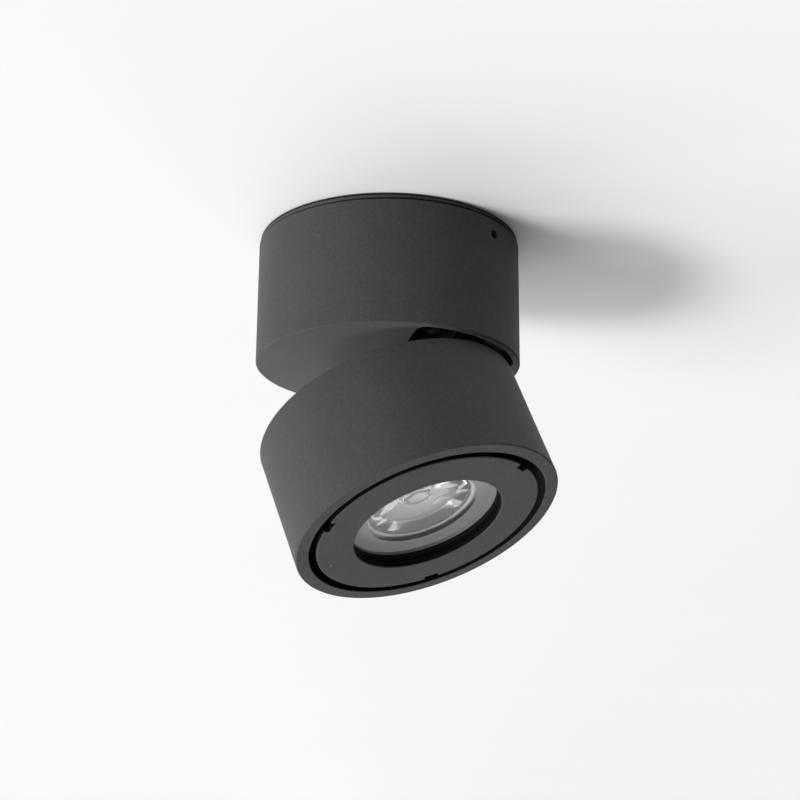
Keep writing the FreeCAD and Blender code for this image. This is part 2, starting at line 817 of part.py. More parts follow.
def make_hinge_bracket():
    """Steel bracket: a plate in the recess and two gooseneck arms that reach round the head's rim."""
    body = housing_body("hinge_bracket")
    plate_angle = "recess_angle * 1 deg - 2 * atan(bracket_fit / recess_inner)"
    revolve(body, [
        ("recess_inner + bracket_fit", "bracket_under"),
        ("inner_radius - bracket_fit", "bracket_under"),
        ("inner_radius - bracket_fit", "recess_depth"),
        ("recess_inner + bracket_fit", "recess_depth"),
    ], sector=plate_angle)
    round_corners(body, "recess_corner", "inner_radius - bracket_fit", f"({plate_angle}) / 2", "recess_depth")
    side = new_sketch(body, "XZ_Plane", lift="-arm_outer")
    draw_outline(side, [
        ("arm_back", "recess_depth - bracket_thickness / 2"),
        ("arm_back", "-pivot_drop - arm_end", "outer_bend"),
        ("pivot_x", "-pivot_drop - arm_end"),
        ("pivot_x", "-pivot_drop + arm_end"),
        ("arm_front", "-pivot_drop + arm_end", "throat_bend"),
        ("arm_front", "0", "foot_bend"),
        ("arm_foot", "bracket_under"),
        ("arm_foot", "recess_depth - bracket_thickness / 2"),
    ])
    arm = pad(body, side, "bracket_thickness")
    knob = new_sketch(body, "XZ_Plane", lift="-arm_outer")
    draw_circle(knob, "pivot_x", "-pivot_drop", "arm_end")
    eye = pad(body, knob, "bracket_thickness")
    mirror(body, [arm, eye], "XZ_Plane")
    pin = new_sketch(body, "XZ_Plane")
    draw_circle(pin, "pivot_x", "-pivot_drop", "pin_hole")
    pocket(body, pin, "arm_outer * 3", middle=True)
    round_hole(body, "wire_pass_offset", "0", "wire_pass", "0", "roof_top", up=True)
    start = polar("bracket_screw_ring", "-bracket_screw_spread / 2")
    hole = round_hole(body, *start, "passing_hole", "0", "roof_top", up=True)
    round_copies(body, [hole], spread="bracket_screw_spread")


def make_bracket_screws():
    """Three screws from below that hold the bracket in the recess."""
    body = housing_body("bracket_screws")
    head = "bracket_under - screw_head_height"
    first = screw(body, "bracket_screw_ring", "bracket_under", "roof_top", head, turn="-bracket_screw_spread / 2")
    round_copies(body, [first], spread="bracket_screw_spread")


# ---- driver ------------------------------------------------------------------------------------

def driver_box(body, inset, bottom, height):
    """A block of the driver's plan, drawn in by an inset on every side."""
    sketch = new_sketch(body, "XY_Plane", lift=bottom)
    low = f"driver_edge - driver_length + {inset}"
    high = f"driver_edge - ({inset})"
    half = f"driver_width / 2 - ({inset})"
    draw_box(sketch, low, high, f"-({half})", half)
    return pad(body, sketch, height)


def make_driver_case():
    """Open case with an ear on each long side."""
    body = housing_body("driver_case")
    driver_box(body, "0", "floor", "driver_height")
    ears = new_sketch(body, "XY_Plane", lift="floor + pillar_height")
    reach = "driver_width / 2 - driver_wall / 2"
    corners = [
        ("driver_middle - ear_radius", reach),
        ("driver_middle + ear_radius", reach),
        ("driver_middle + ear_radius", "ear_offset + ear_radius", "ear_radius / 2"),
        ("driver_middle - ear_radius", "ear_offset + ear_radius", "ear_radius / 2"),
    ]
    draw_outline(ears, corners)
    ear = pad(body, ears, "ear_thickness")
    mirror(body, [ear], "XZ_Plane")
    well = new_sketch(body, "XY_Plane", lift="floor + driver_wall")
    low = "driver_edge - driver_length + driver_wall"
    half = "driver_width / 2 - driver_wall"
    draw_box(well, low, "driver_edge - driver_wall", f"-({half})", half)
    pocket(body, well, "driver_height", up=True)
    for side in ("-", ""):
        round_hole(
            body, "driver_middle", f"{side}ear_offset", "passing_hole",
            "floor + pillar_height", "ear_thickness", up=True,
        )


def make_driver_lid():
    """Lid with a lip inside the case walls and a slot for the leads at each end."""
    body = housing_body("driver_lid")
    driver_box(body, "0", "lid_seat", "lid_thickness")
    driver_box(body, "driver_wall + lid_fit", "lid_seat - lid_lip", "lid_lip + lid_thickness / 2")
    hollow = new_sketch(body, "XY_Plane", lift="lid_seat - lid_lip")
    inset = "driver_wall * 2"
    half = f"driver_width / 2 - {inset}"
    draw_box(hollow, f"driver_edge - driver_length + {inset}", f"driver_edge - {inset}", f"-({half})", half)
    pocket(body, hollow, "lid_lip", up=True)
    for spot in (f"driver_edge - {inset} - wire_pass", f"driver_edge - driver_length + {inset} + wire_pass"):
        round_hole(body, spot, "0", "wire_pass", "lid_seat - lid_lip", "lid_lip + lid_thickness + 1", up=True)


def make_driver_board():
    """Circuit board of the driver, on four corner posts."""
    body = housing_body("driver_board")
    driver_box(body, "driver_wall + board_fit", "board_level", "board_thickness")
    posts = new_sketch(body, "XY_Plane", lift="floor + driver_wall")
    inset = "(driver_wall + board_fit + pillar_radius)"
    for x in (f"driver_edge - driver_length + {inset}", f"driver_edge - {inset}"):
        for side in ("-", ""):
            draw_circle(posts, x, f"{side}(driver_width / 2 - {inset})", "screw_radius")
    pad(body, posts, "board_rise + board_thickness / 2")


def make_transformer():
    """Ferrite core round a wound bobbin."""
    body = housing_body("transformer")
    core = new_sketch(body, "XY_Plane", lift="board_top")
    low = "driver_middle - transformer_length / 2"
    high = "driver_middle + transformer_length / 2"
    draw_box(core, low, high, "-transformer_width / 2", "transformer_width / 2")
    pad(body, core, "transformer_height")
    bobbin = new_sketch(body, "XY_Plane", lift="board_top + bobbin_reach")
    draw_box(
        bobbin, f"{low} - bobbin_reach", f"{high} + bobbin_reach",
        "-transformer_width / 4", "transformer_width / 4",
    )
    pad(body, bobbin, "transformer_height - bobbin_reach * 2")


def make_capacitors():
    """Two upright electrolytic capacitors."""
    body = housing_body("capacitors")
    x = "driver_middle - transformer_length / 2 - bobbin_reach - capacitor_radius - bobbin_reach / 2"
    top = "board_top + capacitor_height"
    low = "capacitor_pitch / 2"
    first = revolve(body, [
        (low, top),
        (f"{low} + capacitor_radius - edge_break", top),
        (f"{low} + capacitor_radius", f"{top} - edge_break"),
        (f"{low} + capacitor_radius", "board_top"),
        (low, "board_top"),
    ], spun_on_edge=True, role="YZ_Plane", lift=x)
    mirror(body, [first], "XZ_Plane")


def make_driver_coil():
    """Wound ring choke, standing on the board."""
    body = housing_body("driver_coil")
    x = "driver_middle + transformer_length / 2 + bobbin_reach + coil_radius + edge_break"
    sketch = new_sketch(body, "XY_Plane", lift="board_top")
    draw_circle(sketch, x, "coil_radius + edge_break", "coil_radius")
    draw_circle(sketch, x, "coil_radius + edge_break", "coil_bore")
    pad(body, sketch, "coil_height")


def make_driver_connectors():
    """Mains and lamp connectors at the two ends of the board."""
    body = housing_body("driver_connectors")
    inset = "(driver_wall + board_fit + pillar_radius)"
    far = f"driver_edge - driver_length + {inset}"
    near = f"driver_edge - {inset}"
    for low, high, y in ((far, f"{far} + connector_length", "0"), (f"{near} - connector_length", near, "-1")):
        sketch = new_sketch(body, "XY_Plane", lift="board_top")
        middle = f"{y} * connector_width * 0.7"
        draw_box(sketch, low, high, f"{middle} - connector_width / 2", f"{middle} + connector_width / 2")
        pad(body, sketch, "connector_height")


def make_driver_screws():
    """Two screws through the ears of the driver case."""
    body = housing_body("driver_screws")
    seat = "floor + pillar_height + ear_thickness"
    x = "driver_middle"
    shanks = new_sketch(body, "XY_Plane", lift="floor + pillar_height / 2")
    draw_circle(shanks, x, "ear_offset", "screw_radius")
    shank = pad(body, shanks, "pillar_height / 2 + ear_thickness")
    heads = new_sketch(body, "XY_Plane", lift=seat)
    draw_circle(heads, x, "ear_offset", "screw_head_radius")
    head = pad(body, heads, "screw_head_height")
    mirror(body, [shank, head], "XZ_Plane")


# ---- lamp head ---------------------------------------------------------------------------------

def make_head_shell():
    """Turned can, open at the front, with a window in its top for the hinge arms."""
    body = head_body("head_shell")
    revolve(body, [
        ("0", "0"),
        ("outer_radius", "0"),
        ("outer_radius", "face"),
        ("rim_radius", "face"),
        ("rim_radius", "face + rim_depth"),
        ("inner_radius", "face + rim_depth"),
        ("inner_radius", "-head_top"),
        ("0", "-head_top"),
    ])
    post = new_sketch(body, "XY_Plane", lift="sink_deck")
    draw_circle(post, *polar("boss_ring", "boss_start"), "boss_radius")
    boss = pad(body, post, "-sink_deck - head_top / 2")
    round_copies(body, [boss])
    hole = round_hole(
        body, *polar("boss_ring", "boss_start"), "tapped_hole", "sink_deck", "fin_height - screw_bite", up=True,
    )
    round_copies(body, [hole])
    revolve(body, [
        ("window_inner", "1"),
        ("inner_radius", "1"),
        ("inner_radius", "-head_top - 1"),
        ("window_inner", "-head_top - 1"),
    ], sector="window_angle", cut=True)
    break_rims(body, "edge_break", [("outer_radius", "0"), ("outer_radius", "face")])
    break_rims(body, "bevel", [("rim_radius", "face")])


def make_heat_sink():
    """Cast heat sink: radial fins on a thick deck, and the knuckle that carries the hinge pin."""
    body = head_body("heat_sink")
    revolve(body, [
        ("0", "fin_top"),
        ("core_radius", "fin_top"),
        ("core_radius", "sink_deck"),
        ("sink_radius", "sink_deck"),
        ("sink_radius", "sink_face"),
        ("0", "sink_face"),
    ])
    blade = new_sketch(body, "XY_Plane", lift="sink_deck - sink_base / 2")
    draw_box(blade, "core_radius - fin_thickness / 2", "sink_radius - bevel", "-fin_thickness / 2", "fin_thickness / 2")
    fin = pad(body, blade, "fin_height + sink_base / 2")
    round_copies(body, [fin], count="fin_count")
    revolve(body, [
        ("bay_inner", "fin_top + 1"),
        ("sink_radius + 1", "fin_top + 1"),
        ("sink_radius + 1", "sink_deck"),
        ("bay_inner", "sink_deck"),
    ], sector="bay_angle", cut=True)
    gap = round_hole(
        body, *polar("boss_ring", "boss_start"), "boss_radius + boss_clearance",
        "sink_deck", "fin_height + 1", up=True,
    )
    round_copies(body, [gap])
    passing = round_hole(
        body, *polar("boss_ring", "boss_start"), "passing_hole", "sink_face - 1", "sink_base + 2", up=True,
    )
    round_copies(body, [passing])
    cheek = new_sketch(body, "XZ_Plane")
    draw_outline(cheek, [
        ("knuckle_back", "sink_deck - sink_base / 2"),
        ("sqrt(sink_radius ^ 2 - knuckle_half ^ 2) - bevel", "sink_deck - sink_base / 2"),
        ("sqrt(sink_radius ^ 2 - knuckle_half ^ 2) - bevel", "sink_deck"),
        ("pivot_x + arm_end", "-pivot_depth - arm_end"),
        ("pivot_x + arm_end", "-pivot_depth"),
        ("pivot_x - arm_end", "-pivot_depth"),
        ("knuckle_back", "sink_deck + edge_break"),
    ])
    pad(body, cheek, "knuckle_half * 2", middle=True)
    knob = new_sketch(body, "XZ_Plane")
    draw_circle(knob, "pivot_x", "-pivot_depth", "arm_end")
    pad(body, knob, "knuckle_half * 2", middle=True)
    bore = new_sketch(body, "XZ_Plane")
    draw_circle(bore, "pivot_x", "-pivot_depth", "pin_radius + thread_fit")
    pocket(body, bore, "knuckle_half * 4", middle=True)
    start = polar("cup_screw_ring", "boss_start / 2")
    cup_hole = round_hole(body, *start, "tapped_hole", "sink_face", "sink_base - bevel", up=True)
    round_copies(body, [cup_hole])
    for side in ("-", ""):
        spot = f"{side}holder_screw_ring"
        round_hole(body, "0", spot, "tapped_hole", "sink_face", "sink_base - bevel", up=True)


def make_heat_sink_screws():
    """Three screws from the deck up into the posts of the head shell."""
    body = head_body("heat_sink_screws")
    tip = "sink_deck + fin_height / 2"
    head = "sink_face - screw_head_height"
    first = screw(body, "boss_ring", "sink_face", tip, head, turn="boss_start")
    round_copies(body, [first])


def pin_sketch_outline(steps):
    """Corners of a turned piece on the hinge axis, from (along Y, radius) pairs."""
    first = steps[0][0]
    last = steps[-1][0]
    corners = [("pivot_x", first)]
    corners += [(f"pivot_x + {radius}", along) for along, radius in steps]
    corners.append(("pivot_x", last))
    return corners


def make_hinge_pin():
    """Shoulder pin: head outside one arm, threaded end beyond the other."""
    body = head_body("hinge_pin")
    outside = "arm_outer + side_play"
    shoulder = f"{outside} + spring_thickness"
    corners = pin_sketch_outline([
        (f"-({outside} + pin_head_height)", "pin_head_radius"),
        (f"-({outside})", "pin_head_radius"),
        (f"-({outside})", "pin_radius"),
        (shoulder, "pin_radius"),
        (shoulder, "pin_thread_radius"),
        (f"{shoulder} + pin_thread_length", "pin_thread_radius"),
    ])
    revolve(body, corners, spun_on_edge=True, role="XY_Plane", lift="-pivot_depth")


def hinge_disc(body, near, thickness, radius, bore):
    """A flat ring on the hinge axis, from one place along Y outwards."""
    sketch = new_sketch(body, "XZ_Plane", lift=f"-({near} + {thickness})")
    draw_circle(sketch, "pivot_x", "-pivot_depth", radius)
    draw_circle(sketch, "pivot_x", "-pivot_depth", bore)
    return pad(body, sketch, thickness)


def make_friction_washers():
    """Washers between the knuckle and the two arms."""
    body = head_body("friction_washers")
    radius = "arm_end + edge_break"
    first = hinge_disc(body, "knuckle_half", "friction_washer", radius, "pin_hole")
    mirror(body, [first], "XZ_Plane")


def make_disc_spring():
    """Disc spring that presses the joint together."""
    body = head_body("disc_spring")
    hinge_disc(body, "arm_outer + side_play", "spring_thickness", "arm_end", "pin_hole")


def make_hinge_nut():
    """Lock nut on the threaded end of the pin."""
    body = head_body("hinge_nut")
    near = "arm_outer + side_play + spring_thickness"
    sketch = new_sketch(body, "XZ_Plane", lift=f"-({near} + nut_height)")
    draw_hexagon(sketch, "pivot_x", "-pivot_depth", "nut_radius")
    draw_circle(sketch, "pivot_x", "-pivot_depth", "pin_thread_radius + thread_fit")
    pad(body, sketch, "nut_height")


# ---- light source ------------------------------------------------------------------------------

def square_plate(body, side, bottom, thickness):
    sketch = new_sketch(body, "XY_Plane", lift=bottom)
    draw_box(sketch, f"-{side} / 2", f"{side} / 2", f"-{side} / 2", f"{side} / 2")
    return pad(body, sketch, thickness)


def make_thermal_pad():
    body = head_body("thermal_pad")
    square_plate(body, "led_side", "sink_face - pad_thickness", "pad_thickness")


def make_led_board():
    """Square metal-core board of the light source."""
    body = head_body("led_board")
    square_plate(body, "led_side", "board_front", "led_thickness")


def make_led_emitter():
    """Round phosphor field on the board."""
    body = head_body("led_emitter")
    revolve(body, [
        ("0", "board_front"),
        ("emitter_radius", "board_front"),
        ("emitter_radius - emitter_thickness", "board_front - emitter_thickness"),
        ("0", "board_front - emitter_thickness"),
    ])


def make_led_holder():
    """Moulded ring that clamps the board, with a ledge for the back of the lens."""
    body = head_body("led_holder")
    revolve(body, [
        ("holder_bore", "sink_face"),
        ("holder_radius", "sink_face"),
        ("holder_radius", "holder_front + edge_break"),
        ("holder_radius - edge_break", "holder_front"),
        ("holder_mouth", "holder_front"),
        ("lens_back_radius + lens_fit", "lens_back"),
        ("holder_bore", "lens_back"),
    ])
    nest = new_sketch(body, "XY_Plane", lift="sink_face + 1")
    half = "led_side / 2 + led_fit"
    draw_box(nest, f"-({half})", half, f"-({half})", half)
    pocket(body, nest, "pad_thickness + led_thickness + 1")
    for side in ("-", ""):
        round_hole(
            body, "0", f"{side}holder_screw_ring", "passing_hole", "holder_front - 1",
            "holder_height + 2", up=True,
        )


def make_led_holder_screws():
    """Two screws that press the holder and the board onto the deck."""
    body = head_body("led_holder_screws")
    head = "holder_front - screw_head_height"
    tip = "sink_face + sink_base / 2"
    first = screw(body, "holder_screw_ring", "holder_front", tip, head, turn="90")
    mirror(body, [first], "XZ_Plane")


# ---- optics ------------------------------------------------------------------------------------

def make_lens():
    """Moulded collimator: flat front, curved sides and a hollow over the light source."""
    body = head_body("lens")
    revolve(body, [
        ("0", "plate_front"),
        ("lens_radius", "plate_front"),
        ("lens_radius", "plate_front + lens_rim"),
        ("lens_radius - lens_step", "plate_front + lens_rim"),
        ("lens_belly", "lens_back - lens_belly_height"),
        ("lens_back_radius", "lens_back"),
        ("cavity_radius", "lens_back"),
        ("cavity_radius - cavity_crown / 2", "lens_back - cavity_depth"),
        ("cavity_radius / 2", "lens_back - cavity_depth + cavity_crown"),
        ("0", "lens_back - cavity_depth + cavity_crown"),
    ])


def flat_ring(name, inner, outer, front, back):
    body = head_body(name)
    revolve(body, [(inner, front), (outer, front), (outer, back), (inner, back)])
    return body


def make_lens_plate():
    """Light plate round the lens, behind the glass."""
    flat_ring("lens_plate", "lens_radius + lens_fit", "glass_radius", "plate_front", "plate_back")


def make_lens_retainer():
    """Threaded ring behind the lens plate, with two slots for a key."""
    body = flat_ring("lens_retainer", "retainer_bore", "cup_bore - thread_fit", "plate_back", "retainer_back")
    slot = new_sketch(body, "XY_Plane", lift="retainer_back")
    draw_box(slot, "-cup_bore", "cup_bore", "-retainer_slot / 2", "retainer_slot / 2")
    pocket(body, slot, "retainer_height / 2")


def make_front_glass():
    """Clear front glass."""
    body = head_body("front_glass")
    revolve(body, [
        ("0", "glass_front"),
        ("glass_radius", "glass_front"),
        ("glass_radius", "plate_front"),
        ("0", "plate_front"),
    ])


def make_glass_seal():
    """Grey seal between the lip of the cup and the glass."""
    flat_ring("glass_seal", "aperture", "glass_radius", "seal_front", "glass_front")


def make_optic_cup():
    """Black cup that holds the optics, with a bayonet groove for the front ring."""
    body = head_body("optic_cup")
    revolve(body, [
        ("aperture", "cup_front"),
        ("cup_radius", "cup_front"),
        ("cup_radius", "bayonet_front"),
        ("bayonet_radius", "bayonet_front"),
        ("bayonet_radius", "bayonet_back"),
        ("cup_radius", "bayonet_back"),
        ("cup_radius", "flange_front"),
        ("sink_radius", "flange_front"),
        ("sink_radius", "sink_face"),
        ("cup_bore", "sink_face"),
        ("cup_bore", "seal_front"),
        ("aperture", "seal_front"),
    ])
    entry = revolve(body, [
        ("bayonet_radius", "cup_front - 1"),
        ("cup_radius + 1", "cup_front - 1"),
        ("cup_radius + 1", "bayonet_front"),
        ("bayonet_radius", "bayonet_front"),
    ], sector="foot_angle + 2", turn="notch_start + 60 + twist", cut=True)
    round_copies(body, [entry])
    start = polar("cup_screw_ring", "boss_start / 2")
    hole = round_hole(body, *start, "passing_hole", "flange_front - 1", "cup_flange + 2", up=True)
    round_copies(body, [hole])


def make_optic_cup_screws():
    """Three screws through the cup's flange into the deck."""
    body = head_body("optic_cup_screws")
    head = "flange_front - screw_head_height"
    tip = "sink_face + sink_base / 2"
    first = screw(body, "cup_screw_ring", "flange_front", tip, head, turn="boss_start / 2")
    round_copies(body, [first])


def make_front_ring():
    """Bayonet front ring: flat face, three notches to turn it by and three hooked feet behind."""
    body = head_body("front_ring")
    ring_back = "face + ring_thickness"
    revolve(body, [
        ("aperture", "face"),
        ("ring_radius", "face"),
        ("ring_radius", ring_back),
        ("aperture", ring_back),
    ])
    break_rims(body, "bevel", [("aperture", "face"), ("ring_radius", "face")])
    foot = revolve(body, [
        ("foot_inner", f"{ring_back} - ring_thickness / 2"),
        ("foot_outer", f"{ring_back} - ring_thickness / 2"),
        ("foot_outer", "hook_back"),
        ("hook_inner", "hook_back"),
        ("hook_inner", "hook_front"),
        ("foot_inner", "hook_front"),
    ], sector="foot_angle", turn="notch_start + 60")
    round_copies(body, [foot])
    notch = revolve(body, [
        ("ring_radius - notch_depth", "face - 1"),
        ("ring_radius + 1", "face - 1"),
        ("ring_radius + 1", f"{ring_back} + 1"),
        ("ring_radius - notch_depth", f"{ring_back} + 1"),
    ], sector="2 * atan(notch_width / 2 / ring_radius)", turn="notch_start", cut=True)
    round_copies(body, [notch])


# ---- build and write ---------------------------------------------------------------------------

MAKERS = (
    make_ceiling_base,
    make_cable_grommet,
    make_pan_stop_pin,
    make_terminal_block,
    make_terminal_screws,
    make_terminal_block_screws,
    make_earth_screw,
    make_housing_shell,
    make_grub_screws,
    make_hinge_bracket,
    make_bracket_screws,
    make_driver_case,
    make_driver_lid,
    make_driver_board,
    make_transformer,
    make_capacitors,
    make_driver_coil,
    make_driver_connectors,
    make_driver_screws,
    make_head_shell,
    make_heat_sink,
    make_heat_sink_screws,
    make_hinge_pin,
    make_friction_washers,
    make_disc_spring,
    make_hinge_nut,
    make_thermal_pad,
    make_led_board,
    make_led_emitter,
    make_led_holder,
    make_led_holder_screws,
    make_lens,
    make_lens_plate,
    make_lens_retainer,
    make_front_glass,
    make_glass_seal,
    make_optic_cup,
    make_optic_cup_screws,
    make_front_ring,
)


def check_document():
    for thing in doc.Objects:
        bad = [word for word in thing.State if word in ("Invalid", "Error")]
        if bad:
            raise RuntimeError(f"{thing.Name} is {bad}")
    for piece in pieces:
        if piece.Shape.isNull() or not piece.Shape.isValid():
            raise RuntimeError(f"{piece.Label} has no valid shape")


def write_parts():
    os.makedirs("parts", exist_ok=True)
    for piece in pieces:
        piece.Shape.exportStep(f"parts/{piece.Label}.step")


fill_sheet()
for make in MAKERS:
    make()
doc.recompute()
check_document()
write_parts()
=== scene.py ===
import json
import math
from functools import cached_property
from typing import NamedTuple

import bmesh
import bpy
from mathutils import Matrix, Vector


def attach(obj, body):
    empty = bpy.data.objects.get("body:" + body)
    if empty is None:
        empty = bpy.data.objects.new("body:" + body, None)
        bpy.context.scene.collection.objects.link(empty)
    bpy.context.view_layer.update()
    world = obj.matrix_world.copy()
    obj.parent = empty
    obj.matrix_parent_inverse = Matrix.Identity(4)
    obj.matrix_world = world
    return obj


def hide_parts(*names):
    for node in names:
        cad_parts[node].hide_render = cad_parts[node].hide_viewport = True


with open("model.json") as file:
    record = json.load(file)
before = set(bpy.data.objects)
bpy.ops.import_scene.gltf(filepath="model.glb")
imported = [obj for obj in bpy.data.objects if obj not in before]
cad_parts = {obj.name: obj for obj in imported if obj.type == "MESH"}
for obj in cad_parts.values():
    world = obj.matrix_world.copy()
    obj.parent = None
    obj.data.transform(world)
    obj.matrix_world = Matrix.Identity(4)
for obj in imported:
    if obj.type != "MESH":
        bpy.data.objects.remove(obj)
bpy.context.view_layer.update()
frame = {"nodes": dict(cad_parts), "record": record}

scene = bpy.context.scene
record = frame["record"]
MM = 0.001

# The head is in line with the housing at the tilt joint's lower limit, and open by TILT at rest.
tilt_joint = next(joint for joint in record["behaviour"]["joints"] if joint["name"] == "tilt")
TILT = -math.radians(tilt_joint["range_deg"][0])
PIVOT = Vector(tilt_joint["pos_m"])

# The head's own frame: its axis is local Z and its top plane is at local z = 0.
PIN_BELOW_TOP = 7.7
PIVOT_IN_HEAD = Vector((PIVOT.x, 0.0, -PIN_BELOW_TOP * MM))
TURN = Matrix.Rotation(-TILT, 4, "Y")
HEAD = Matrix.Translation(PIVOT - TURN @ PIVOT_IN_HEAD) @ TURN


# ---- node trees --------------------------------------------------------------------------------

class Zone(NamedTuple):
    """Where a finish or a painted shade changes: between two levels and within reach of an axis, in
    millimetres.

    The axis is that of the base and housing, or the head's own."""
    low: float
    high: float
    reach: float
    of_head: bool = False


def scaled(colour, factor):
    return tuple(min(1.0, channel * factor) for channel in colour)


class Nodes:
    """The node tree of a material or a world, built one call at a time."""

    def __init__(self, owner, output):
        owner.use_nodes = True
        self.owner = owner
        self.tree = owner.node_tree
        self.tree.nodes.clear()
        self.out = self.add(output)

    @cached_property
    def place(self):
        return self.add("ShaderNodeTexCoord").outputs["Object"]

    def add(self, kind, **settings):
        """A new node. A setting is one of its properties, or else one of its inputs."""
        node = self.tree.nodes.new(kind)
        for key, value in settings.items():
            if hasattr(node, key):
                setattr(node, key, value)
            else:
                node.inputs[key.replace("_", " ")].default_value = value
        return node

    def link(self, source, target):
        self.tree.links.new(source, target)

    def feed(self, socket, value):
        """Sets an input from another node, a colour or a plain number."""
        if isinstance(value, bpy.types.NodeSocket):
            self.link(value, socket)
        elif isinstance(value, (tuple, list)):
            socket.default_value = (*value, 1.0)
        else:
            socket.default_value = value

    def noise(self, scale, detail=2.0, roughness=0.5):
        node = self.add("ShaderNodeTexNoise", Scale=scale, Detail=detail, Roughness=roughness)
        self.link(self.place, node.inputs["Vector"])
        return node.outputs["Fac"]

    def ramp(self, source, first, second, low=0.3, high=0.7):
        """One colour up to a low value, another from a high value on, and a blend in between."""
        node = self.add("ShaderNodeValToRGB")
        elements = node.color_ramp.elements
        for element, position, colour in zip(elements, (low, high), (first, second)):
            element.position = position
            element.color = (*colour, 1.0)
        self.link(source, node.inputs["Fac"])
        return node.outputs["Color"]

    def mix(self, factor, first, second, blend="MIX"):
        """One colour where the factor is 0 and another where it is 1."""
        node = self.add("ShaderNodeMix", data_type="RGBA", blend_type=blend)
        # a Mix node's colours are its inputs 6 and 7 and its output 2
        for number, value in ((0, factor), (6, first), (7, second)):
            self.feed(node.inputs[number], value)
        return node.outputs[2]

    def calc(self, operation, first, second=0.0):
        node = self.add("ShaderNodeMath", operation=operation)
        for socket, value in zip(node.inputs, (first, second)):
            self.feed(socket, value)
        return node.outputs[0]

    def spread(self, source, low, high, start=0.0, end=1.0, kind="LINEAR"):
        """A value that goes from low to high while its source goes from start to end."""
        node = self.add("ShaderNodeMapRange", interpolation_type=kind)
        limits = {"From Min": start, "From Max": end, "To Min": low, "To Max": high}
        for name, value in limits.items():
            node.inputs[name].default_value = value
        self.link(source, node.inputs["Value"])
        return node.outputs["Result"]

    def bump(self, height, depth, strength, rounding=0.0):
        """Relief from a height, over edges that are rounded by a small radius, in millimetres."""
        node = self.add("ShaderNodeBump", Strength=strength, Distance=depth * MM)
        self.link(height, node.inputs["Height"])
        if rounding:
            edge = self.add("ShaderNodeBevel", Radius=rounding * MM)
            edge.samples = 6
            self.link(edge.outputs["Normal"], node.inputs["Normal"])
        return node.outputs["Normal"]

    def in_head_frame(self):
        """Places in the head's own frame."""
        move = self.add("ShaderNodeVectorMath", operation="SUBTRACT")
        move.inputs[1].default_value = PIVOT
        self.link(self.place, move.inputs[0])
        turn = self.add("ShaderNodeVectorRotate", rotation_type="Y_AXIS", Angle=TILT)
        self.link(move.outputs[0], turn.inputs["Vector"])
        back = self.add("ShaderNodeVectorMath", operation="ADD")
        back.inputs[1].default_value = PIVOT_IN_HEAD
        self.link(turn.outputs[0], back.inputs[0])
        return back.outputs[0]

    def inside(self, zone):
        """1 within a zone and 0 outside it."""
        parts = self.add("ShaderNodeSeparateXYZ")
        self.link(self.in_head_frame() if zone.of_head else self.place, parts.inputs[0])
        x, y, z = parts.outputs
        squares = self.calc("ADD", self.calc("MULTIPLY", x, x), self.calc("MULTIPLY", y, y))
        near = self.calc("LESS_THAN", self.calc("SQRT", squares), zone.reach * MM)
        above = self.calc("GREATER_THAN", z, zone.low * MM)
        below = self.calc("LESS_THAN", z, zone.high * MM)
        return self.calc("MULTIPLY", near, self.calc("MULTIPLY", above, below))

    def surface(self, colour, roughness, normal=None, **plain):
        node = self.add("ShaderNodeBsdfPrincipled", **plain)
        self.feed(node.inputs["Base Color"], colour)
        self.feed(node.inputs["Roughness"], roughness)
        if normal is not None:
            self.link(normal, node.inputs["Normal"])
        return node.outputs[0]

    def see_through(self, colour=(1.0, 1.0, 1.0)):
        return self.add("ShaderNodeBsdfTransparent", Color=(*colour, 1.0)).outputs[0]

    def backdrop(self, colour, strength):
        node = self.add("ShaderNodeBackground", Color=(*colour, 1.0), Strength=strength)
        return node.outputs[0]

    def blend(self, factor, first, second):
        """One shader where the factor is 0 and another where it is 1."""
        node = self.add("ShaderNodeMixShader")
        for source, socket in zip((factor, first, second), node.inputs):
            self.link(source, socket)
        return node.outputs[0]

    def finish(self, shader):
        self.link(shader, self.out.inputs["Surface"])
        return self.owner


def new_material(name):
    return Nodes(bpy.data.materials.new(name), "ShaderNodeOutputMaterial")


# ---- materials ---------------------------------------------------------------------------------

COAT = (0.082, 0.081, 0.089)
PIT_SHADE = (0.78, 0.78, 0.78)
PEAK_SHADE = (1.08, 1.08, 1.08)
# near black, painted as the shade in recesses, gaps and along the ceiling line
PAINTED_SHADE_BLACK = (0.003, 0.003, 0.003)
DUST = (0.42, 0.42, 0.43)
RUBBER_IN_SHADE = (0.004, 0.004, 0.004)
FROST_DARK = (0.355, 0.355, 0.36)
FROST_LIGHT = (0.385, 0.385, 0.39)
FROST_COVER = 0.85
WHITE = (1.0, 1.0, 1.0)
CLEAR = (0.985, 0.985, 0.985)

# painted shade: the coat is near black inside the housing and its recess, inside the head and on the
# ring's walls, where shade falls
HOUSING_INSIDE = Zone(low=-49.3, high=0.0, reach=49.4)
HEAD_INSIDE = Zone(low=-46.6, high=-0.1, reach=49.4, of_head=True)
RING_INSIDE = Zone(low=-46.42, high=-40.0, reach=45.0, of_head=True)
# painted shadow: a thin near-black line along the base's top edge, where it meets the ceiling
BASE_CEILING_SHADOW = Zone(low=-0.5, high=-0.02, reach=60.0)
# painted shade: the seal's front band is black where shade falls
SEAL_SHADE = Zone(low=-43.0, high=-41.2, reach=45.0, of_head=True)
GLASS_CLEAR = Zone(low=-41.0, high=-37.0, reach=20.9, of_head=True)


def dusted(nodes, tint):
    """A few pale specks over a colour: in some places, the cores of a cell pattern's cells."""
    cells = nodes.add("ShaderNodeTexVoronoi", feature="F1", Scale=70.0)
    nodes.link(nodes.place, cells.inputs["Vector"])
    core = nodes.calc("LESS_THAN", cells.outputs["Distance"], 0.022)
    chosen = nodes.calc("GREATER_THAN", nodes.noise(55, 0.0), 0.56)
    cover = nodes.calc("MULTIPLY", nodes.calc("MULTIPLY", core, chosen), 0.5)
    return nodes.mix(cover, tint, DUST)


